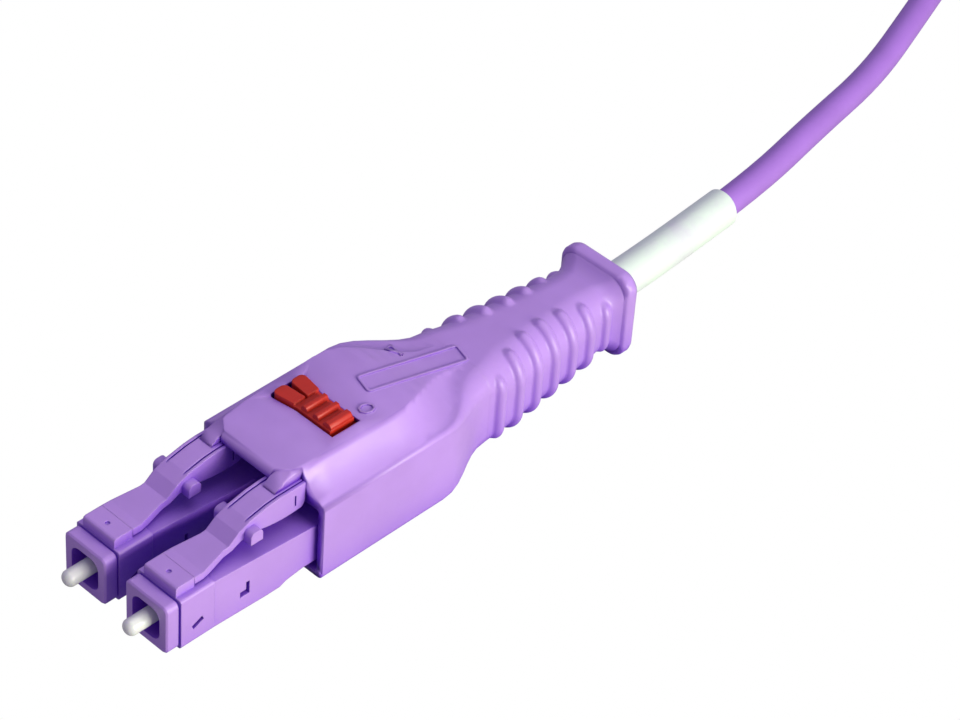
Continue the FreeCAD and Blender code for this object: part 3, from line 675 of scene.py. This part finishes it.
@dataclass(frozen=True)
class RibbedTail:
    """Skin of the boot's tail: tapered, round-cornered, with ribs that end in round heads.

    The tail tapers from start to neck, swells between them and flares from neck to end. Between
    the ribs' heads runs a smooth band, which widens towards both ends by the band_growth values.
    """

    start: float = 32.0
    neck: float = 45.6
    end: float = 46.9
    centre: float = -0.3
    half_width: float = 3.9
    half_height: float = 3.62
    width_taper: float = 1.15
    height_taper: float = 0.72
    flare_width: float = 0.4
    flare_height: float = 0.6
    corner: float = 1.75
    corner_flare: float = -0.3
    upper_swell: float = 0.75
    lower_swell: float = 0.2
    swell: float = 0.22
    swell_rise: float = 2.5
    swell_fall: tuple[float, float] = (43.5, 3.4)
    first_rib: float = 33.15
    pitch: float = 2.05
    ribs: int = 7
    rise: float = 0.4
    half_length: float = 0.52
    band: float = 1.2
    band_growth: tuple[float, float] = (2.2, 1.2)
    along: int = 176
    around: int = 128
    overlap: float = 0.08
    tuck: float = 0.03
    bore_reach: float = 2.4

    def section(self, x: float) -> tuple[float, float, float, float]:
        """Give the section's sizes.

        Args:
            x: Place along the boot.

        Returns:
            Half width, half height, radius of the upper corners, radius of the lower corners.
        """
        t = (min(x, self.neck) - self.start) / (self.neck - self.start)
        flare = max(x - self.neck, 0.0) / (self.end - self.neck)
        fall_start, fall_run = self.swell_fall
        body = ease((x - self.start) / self.swell_rise) * (1 - ease((x - fall_start) / fall_run))
        half = self.half_width - self.width_taper * t + self.flare_width * flare**2
        tall = self.half_height - self.height_taper * t + self.flare_height * flare**2
        corner = self.corner + self.corner_flare * flare
        upper, lower = corner + self.upper_swell * body, corner + self.lower_swell * body
        return half + self.swell * body, tall, upper, lower

    def rib_height(self, x: float, y: float) -> float:
        """Give the height of the ribs over the skin.

        Args:
            x: Place along the boot.
            y: Distance from the boot's middle plane.

        Returns:
            Height in millimetres.
        """
        index = min(max(round((x - self.first_rib) / self.pitch), 0), self.ribs - 1)
        half_run = self.pitch * (self.ribs - 1) / 2
        off_middle = (index * self.pitch - half_run) / half_run
        growth = self.band_growth[0 if off_middle < 0 else 1]
        smooth_band = self.band + growth * off_middle**2
        away = x - self.first_rib - index * self.pitch
        beyond = max(smooth_band + self.half_length - abs(y), 0.0)
        distance = math.hypot(away, beyond) / self.half_length
        return self.rise * (1 - distance**2) ** 0.75 if distance < 1 else 0.0

    def rim(self, x: float, share: float) -> tuple[Vector, Vector]:
        """Give a point on the plain skin.

        Args:
            x: Place along the boot.
            share: Way round the section, from the top's middle.

        Returns:
            The point in the drawing and its outward direction.
        """
        half, tall, upper, lower = self.section(x)
        quarter = min(int(share * 4), 3)
        way = share * 4 - quarter
        way = way if quarter % 2 == 0 else 1 - way
        radius = upper if quarter in (0, 3) else lower
        corner_start, corner_end = 0.2, 0.75
        y, z, turn = half - radius, tall - radius, math.pi / 2
        if way < corner_start:
            y, turn = y * way / corner_start, 0.0
        elif way < corner_end:
            turn *= (way - corner_start) / (corner_end - corner_start)
        else:
            z *= (1 - way) / (1 - corner_end)
        side, up = (1 if quarter < 2 else -1), (1 if quarter in (0, 3) else -1)
        outward = Vector((0, side * math.sin(turn), up * math.cos(turn)))
        return Vector((x, side * y, self.centre + up * z)) + outward * radius, outward

    def build(self) -> bpy.types.Object:
        """Shape a grid into the skin.

        Returns:
            The skin, ready to be joined to the boot.
        """
        skin = free_piece(
            "tail_skin", bpy.ops.mesh.primitive_grid_add,
            x_subdivisions=self.along, y_subdivisions=self.around, size=2.0,
        )
        for vertex in skin.data.vertices:
            along, share = (vertex.co.x + 1) / 2, (vertex.co.y + 1) / 2
            x = self.start - self.overlap + (self.end - self.start + 2 * self.overlap) * along
            base, outward = self.rim(min(max(x, self.start), self.end), share)
            tuck = self.tuck if x < self.start or x > self.end else 0.0
            lifted = base + outward * (self.rib_height(x, base.y) - tuck)
            vertex.co = place(x, lifted.y, lifted.z)
        weld(skin, 0.001)
        return skin

    def clear(self, shell: bpy.types.Object) -> None:
        """Take the plainer tail skin off the boot's copy.

        Args:
            shell: The boot.
        """
        only(shell)
        bpy.ops.object.mode_set(mode="EDIT")
        bpy.ops.mesh.select_all(action="DESELECT")
        bpy.ops.object.mode_set(mode="OBJECT")
        low, high = place(self.start - 0.01, 0, 0).x, place(self.end + 0.01, 0, 0).x
        axis = place(0, 0, 0).z
        for face in shell.data.polygons:
            xs = [shell.data.vertices[i].co.x for i in face.vertices]
            between = min(xs) > low and max(xs) < high
            square_on = max(xs) - min(xs) <= 0.001 * MM
            outer = math.hypot(face.center.y, face.center.z - axis) > self.bore_reach * MM
            face.select = between and outer and not square_on
        bpy.ops.object.mode_set(mode="EDIT")
        bpy.ops.mesh.delete(type="FACE")
        bpy.ops.object.mode_set(mode="OBJECT")


@dataclass(frozen=True)
class RaisedOutline:
    """A low raised outline on the boot's cover, left bare inside.

    It is drawn on a level plane and slid onto the cover along a slant, so that it looks straight
    from the front quarter although the cover dips. Its turn is clockwise from above.
    """

    corners: int
    centre: tuple[float, float]
    size: tuple[float, float]
    turn: float
    rounding: float
    band: float = 0.2
    rise: float = 0.1
    level: float = 5.9
    slant: Point = (-0.566, -0.506, 0.651)
    reach: float = 10.0

    def end(self, shell: bpy.types.Object, side: int) -> Vector:
        """Follow the slant from one end of the outline, on the cover, to the plane it is drawn on.

        Args:
            shell: The boot.
            side: -1 for the front end, 1 for the rear end.

        Returns:
            The end's place on the plane.
        """
        turn, half = math.radians(-self.turn), side * self.size[0] / 2
        x, y = self.centre[0] + half * math.cos(turn), self.centre[1] + half * math.sin(turn)
        over = place(x, y, self.level)
        up, slant = Vector((0, 0, 1)), Vector(self.slant)
        spot = shell.ray_cast(over + up * (self.reach * MM), -up)[1]
        return spot + slant * ((over.z - spot.z) / slant.z)

    def build(self, shell: bpy.types.Object) -> bpy.types.Object:
        """Draw the outline flat, slide it along the slant onto the cover and give it thickness.

        Args:
            shell: The boot.

        Returns:
            The outline, ready to be joined to the boot.
        """
        bpy.context.view_layer.update()
        front, rear = self.end(shell, -1), self.end(shell, 1)
        ring = free_piece(
            "outline", bpy.ops.mesh.primitive_circle_add,
            vertices=self.corners, radius=1.0, fill_type="NGON",
        )
        bpy.ops.object.mode_set(mode="EDIT")
        bpy.ops.mesh.select_all(action="SELECT")
        first = math.pi / self.corners
        bpy.ops.transform.rotate(value=first, orient_axis="Z", center_override=(0, 0, 0))
        span = 2 * math.cos(first)
        scale = ((rear - front).length / span, self.size[1] * MM / span, 1)
        bpy.ops.transform.resize(value=scale, center_override=(0, 0, 0))
        bpy.ops.mesh.bevel(affect="VERTICES", offset=self.rounding * MM, segments=3)
        turn = -math.atan2(rear.y - front.y, rear.x - front.x)
        bpy.ops.transform.rotate(value=turn, orient_axis="Z", center_override=(0, 0, 0))
        bpy.ops.transform.translate(value=(front + rear) / 2)
        bpy.ops.mesh.inset(thickness=self.band * MM)
        bpy.ops.mesh.delete(type="ONLY_FACE")
        bpy.ops.mesh.select_all(action="SELECT")
        bpy.ops.mesh.subdivide(number_cuts=7)
        bpy.ops.object.mode_set(mode="OBJECT")
        slant = Vector(self.slant)
        for vertex in ring.data.vertices:
            vertex.co = shell.ray_cast(vertex.co + slant * (self.reach * MM), -slant)[1]
        thicken = ring.modifiers.new("thicken", "SOLIDIFY")
        thicken.thickness = 2 * self.rise * MM
        thicken.offset = 0.0
        bpy.ops.object.modifier_apply(modifier="thicken")
        return ring


LABEL_OUTLINES = (
    RaisedOutline(4, (27.4, -0.5), (10.1, 1.9), 1.2, 0.3),
    RaisedOutline(8, (20.85, -2.45), (1.2, 1.0), 20.0, 0.05, band=0.16),
    RaisedOutline(3, (28.4, 2.6), (1.1, 0.9), -30.0, 0.03, band=0.14),
)


@dataclass
class Boot:
    """The one-piece boot with the bare outlines on its cover, and the slider in its window."""

    finishes: Finishes
    shell: bpy.types.Object = field(init=False)
    slider: bpy.types.Object = field(init=False)

    def build(self) -> None:
        """Replace the boot and the slider by finer copies, and dress the sleeve."""
        self.shell = copy_of("boot", "boot_shell")
        tail = RibbedTail()
        tail.clear(self.shell)
        self.take_in(tail.build())
        for outline in LABEL_OUTLINES:
            self.take_in(outline.build(self.shell))
        smooth(self.shell, 48)
        self.finishes.dress(self.shell, SOFT_VIOLET)
        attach(self.shell, Body.BOOT.value)
        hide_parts("boot")
        self.slider = copy_of("polarity_slider", "slider_fork")
        soften(self.slider, 0.11)
        smooth(self.slider, 40)
        self.finishes.dress(self.slider, RED)
        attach(self.slider, Body.SLIDER.value)
        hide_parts("polarity_slider")
        self.finishes.dress(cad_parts["cable_sleeve"], SLEEVE)

    def take_in(self, addition: bpy.types.Object) -> None:
        """Join a piece of surface to the boot.

        Args:
            addition: The piece.
        """
        only(self.shell)
        addition.select_set(True)
        bpy.ops.object.join()


@dataclass(frozen=True)
class CableRoute:
    """Control points of the cable: out, round the tied hank, and to the far connector."""

    radius: float = 1.175
    rest: float = -2.925
    tie: float = 0.4
    centre: tuple[float, float] = (131.5, 4.4)
    outer: float = 9.4
    straight: float = 15.0
    columns: int = 2
    strands: int = 8
    far_nose: tuple[float, float] = (230.5, 1.0)
    far_turn: float = 174.0
    descent: Point = (9.5, -1.2, -0.8)

    def far(self, point: Point) -> Point:
        """Carry a point of the first connector to the far one.

        Args:
            point: Point in the drawing.

        Returns:
            The same point on the far connector.
        """
        turned = Matrix.Rotation(math.radians(self.far_turn), 3, "Z") @ Vector(point)
        return (self.far_nose[0] + turned.x, self.far_nose[1] + turned.y, turned.z)

    def strand(self, order: float) -> tuple[float, float]:
        """Give a strand's place in the stack, which is wound side by side and then up.

        Args:
            order: Number of the strand from 0, with a fraction where it crosses to the next.

        Returns:
            Radius of its round ends, and its height.
        """
        below = math.floor(order)
        places = []
        for whole in (below, below + 1):
            layer, step = divmod(whole, self.columns)
            places.append((step if layer % 2 == 0 else self.columns - 1 - step, layer))
        column, layer = (a + (b - a) * (order - below) for a, b in zip(*places))
        diameter = 2 * self.radius
        return self.outer - diameter * column, self.rest + self.tie + diameter * layer

    def bend_point(self, side: int, angle: float, lean: float, order: float) -> Point:
        """Give a corner outside a round end, so that the curve by the corners keeps its radius.

        Args:
            side: 1 for the end away from this connector, -1 for the near end.
            angle: Direction of the corner, in degrees.
            lean: Half the turn that the curve makes at the corner, in degrees.
            order: Place in the stack.

        Returns:
            Point in the drawing.
        """
        radius, height = self.strand(order)
        reach = radius / math.cos(math.radians(lean))
        x = self.centre[0] + side * self.straight + reach * math.cos(math.radians(angle))
        return (x, self.centre[1] + reach * math.sin(math.radians(angle)), height)

    def out(self) -> list[Point]:
        """Give the visible run, down to the surface and on to the hank.

        Returns:
            Points in the drawing.
        """
        hank = (self.centre[0] - self.straight, self.centre[1] + self.outer, self.rest + self.tie)
        return [
            (34.0, 0.0, 0.0), (50.0, 0.0, 0.0), (67.0, 1.35, -0.15), (77.5, 3.9, -1.1),
            (88.0, 6.3, -2.3), (98.5, 10.1, self.rest), (107.0, 13.0, self.rest + 0.1), hank,
        ]

    def turns(self) -> list[Point]:
        """Give the hank: long loops, each crossing to its next place ahead of the one below.

        Returns:
            Points in the drawing.
        """
        bend, entry = 15.0, 7.5
        loop = [(-1, 90 + entry, entry), (1, 90 - entry, entry)]
        loop += [(1, angle, bend) for angle in (60, 30, 0, -30, -60)]
        loop += [(1, entry - 90, entry), (-1, -90 - entry, entry)]
        loop += [(-1, angle, bend) for angle in (-120, -150, 180, 150, 120)]
        turns, corners = self.strands - 1, len(loop) - 2
        points = []
        for turn in range(turns):
            wait = corners * (turns - 1 - turn) / turns
            for i, (side, angle, lean) in enumerate(loop):
                crossed = min(max((i - 2 - wait) * turns / corners, 0.0), 1.0)
                points.append(self.bend_point(side, angle, lean, turn + crossed))
        points.append(self.bend_point(*loop[0], turns))
        return points[1:]

    def back(self) -> list[Point]:
        """Give the run from the hank's top strand into the far connector.

        Returns:
            Points in the drawing.
        """
        height = self.strand(self.strands - 1)[1]
        start = (self.centre[0] + self.straight, self.centre[1] + self.outer, height)
        over_end = tuple(a + b for a, b in zip(start, self.descent))
        return [start, over_end] + [self.far(point) for point in reversed(self.out()[:3])]


@dataclass
class FarConnector:
    """The equal connector on the cable's far end, from turned copies of the first one's pieces."""

    plugs: list[Plug]
    boot: Boot
    route: CableRoute
    pieces: list[bpy.types.Object] = field(default_factory=list)

    def build(self) -> None:
        """Replace the plain far pieces by the turned copies."""
        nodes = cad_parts
        self.add("second_boot", [self.boot.shell], Slot.VIOLET)
        self.add("second_polarity_slider", [self.boot.slider], Slot.RED)
        self.add("second_cable_sleeve", [nodes["cable_sleeve"]], Slot.SLEEVE)
        bodies = [nodes[f"{plug.side}_plug_body"] for plug in self.plugs]
        self.add("second_plug_body_pair", bodies, Slot.VIOLET)
        self.add("second_latch_lever_pair", [plug.lever for plug in self.plugs], Slot.VIOLET)
        self.add("second_ferrule_pair", [plug.pin for plug in self.plugs], Slot.CERAMIC)

    def add(self, node: str, sources: list[bpy.types.Object], slot: Slot) -> None:
        """Put turned copies of some pieces in a far node's place.

        Args:
            node: Far node that they replace.
            sources: The first connector's pieces.
            slot: Their material slot; not used.
        """
        copies = [bare_copy(source, node.replace("second", "far_end")) for source in sources]
        piece = copies[0]
        only(piece)
        for copy in copies[1:]:
            copy.select_set(True)
        if len(copies) > 1:
            bpy.ops.object.join()
        turn = Matrix.Rotation(math.radians(self.route.far_turn), 4, "Z")
        to_far_nose = Matrix.Translation(place(*self.route.far_nose, 0.0))
        from_nose = Matrix.Translation(-place(0.0, 0.0, 0.0))
        piece.data.transform(to_far_nose @ turn @ from_nose)
        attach(piece, Body.CORE.value)
        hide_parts(node)
        self.pieces.append(piece)
        log.info("placed %s", piece.name)


@dataclass
class Cord:
    """The cable between both connectors, as one smooth curve."""

    finishes: Finishes
    route: CableRoute
    carried: list[bpy.types.Object]
    cable: bpy.types.Object = field(init=False)

    def build(self) -> None:
        points = self.route.out() + self.route.turns() + self.route.back()
        curve = bpy.data.curves.new("patch_cable", "CURVE")
        curve.dimensions = "3D"
        curve.bevel_depth = self.route.radius * MM
        curve.bevel_resolution = 6
        curve.resolution_u = 6
        curve.use_fill_caps = True
        spline = curve.splines.new("NURBS")
        spline.points.add(len(points) - 1)
        for target, point in zip(spline.points, points):
            target.co = (*place(*point), 1.0)
        spline.order_u = 3
        spline.use_endpoint_u = True
        self.cable = bpy.data.objects.new("patch_cable", curve)
        bpy.context.scene.collection.objects.link(self.cable)
        self.finishes.dress(self.cable, JACKET)
        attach(self.cable, Body.CORE.value)
        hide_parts("cable", "cable_hank", "cable_end")
        length = self.measure()
        log.info("laid the cable, %.3f m", length)

    def measure(self) -> float:
        """Measure the curve's own line.

        Returns:
            Its length in metres.
        """
        bare = self.cable.data.copy()
        bare.bevel_depth = 0.0
        holder = bpy.data.objects.new("measure", bare)
        line = bpy.data.meshes.new_from_object(holder)
        ends = ([line.vertices[i].co for i in edge.vertices] for edge in line.edges)
        total = sum((a - b).length for a, b in ends)
        bpy.data.objects.remove(holder)
        bpy.data.curves.remove(bare)
        bpy.data.meshes.remove(line)
        return total


# ---------------------------------------------------------------- stage


@dataclass(frozen=True)
class Lamp:
    """One soft square light that faces the connector."""

    name: str
    at: Point
    size: float
    power: float
    tint: Colour

    def build(self) -> None:
        """Hang the light."""
        data = bpy.data.lights.new(self.name, "AREA")
        data.shape = "SQUARE"
        data.size = self.size
        data.energy = self.power
        data.color = self.tint
        lamp = bpy.data.objects.new(self.name, data)
        lamp.location = self.at
        lamp.rotation_euler = Vector(self.at).to_track_quat("Z", "Y").to_euler()
        bpy.context.scene.collection.objects.link(lamp)
        log.info("hung %s", self.name)


LAMPS = (
    Lamp("key", (0.1, -0.55, 0.17), 0.3, 4.2, (1.0, 0.99, 0.84)),
    Lamp("top", (0.1, 0.0, 0.6), 0.5, 0.92, (0.9, 0.86, 1.0)),
)


@dataclass(frozen=True)
class Studio:
    """Plain pale floor, soft lights and the camera."""

    position: Point = (-0.139169, -0.128317, 0.169890)
    azimuth: float = -48.2048
    elevation: float = 40.5979
    roll: float = 4.4328
    lens: float = 130.44206
    floor_size: float = 6.0
    bounce: float = 0.35
    sky: float = 0.48
    sky_tint: Colour = (0.8, 0.7, 1.0)

    def camera(self) -> None:
        """Set the camera."""
        turn, tilt, roll = (math.radians(v) for v in (self.azimuth, self.elevation, self.roll))
        level = Vector((math.sin(turn), -math.cos(turn), 0.0)) * math.cos(tilt)
        back = level + Vector((0.0, 0.0, math.sin(tilt)))
        flat = (-back).cross(Vector((0, 0, 1))).normalized()
        upright = flat.cross(-back)
        right = flat * math.cos(roll) + upright * math.sin(roll)
        up = upright * math.cos(roll) - flat * math.sin(roll)
        data = bpy.data.cameras.new("camera")
        data.lens = self.lens
        data.clip_start = 0.005
        data.clip_end = 20.0
        camera = bpy.data.objects.new("camera", data)
        axes = Matrix((right, up, back)).transposed().to_4x4()
        camera.matrix_world = Matrix.Translation(self.position) @ axes
        bpy.context.scene.collection.objects.link(camera)
        bpy.context.scene.camera = camera

    def floor(self) -> None:
        """Lay the floor: plain white to the camera, pale grey to every other ray."""
        ground = free_piece("floor", bpy.ops.mesh.primitive_plane_add, size=self.floor_size)
        chain = NodeChain("floor_paper")
        grey = (self.bounce, self.bounce, self.bounce, 1)
        chain.fill(chain.shader, Base_Color=grey, Roughness=0.9)
        paper = chain.add("ShaderNodeEmission")
        chain.fill(paper, Color=(1, 1, 1, 1))
        seen = chain.add("ShaderNodeLightPath")
        mix = chain.add("ShaderNodeMixShader")
        chain.join(seen, "Is Camera Ray", mix, 0)
        chain.join(chain.shader, "BSDF", mix, 1)
        chain.join(paper, "Emission", mix, 2)
        chain.join(mix, "Shader", chain.out, "Surface")
        ground.data.materials.append(chain.material)

    def build(self) -> None:
        """Set up the camera, the floor, the world and the lights."""
        self.camera()
        self.floor()
        world = bpy.data.worlds.new("studio")
        world.use_nodes = True
        background = world.node_tree.nodes["Background"]
        background.inputs["Color"].default_value = (*self.sky_tint, 1)
        background.inputs["Strength"].default_value = self.sky
        bpy.context.scene.world = world
        for lamp in LAMPS:
            lamp.build()
        bpy.context.scene.view_settings.view_transform = "Standard"


def main() -> None:
    """Dress the whole connector and its stage."""
    finishes = Finishes()
    plugs = [Plug(side, finishes) for side in ("near", "far")]
    for plug in plugs:
        plug.build()
    Chassis(finishes).build()
    boot = Boot(finishes)
    boot.build()
    route = CableRoute()
    far_end = FarConnector(plugs, boot, route)
    far_end.build()
    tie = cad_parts["cable_tie"]
    finishes.dress(tie, SLEEVE)
    Cord(finishes, route, far_end.pieces + [tie]).build()
    Studio().build()


if __name__ == "__main__":
    main()
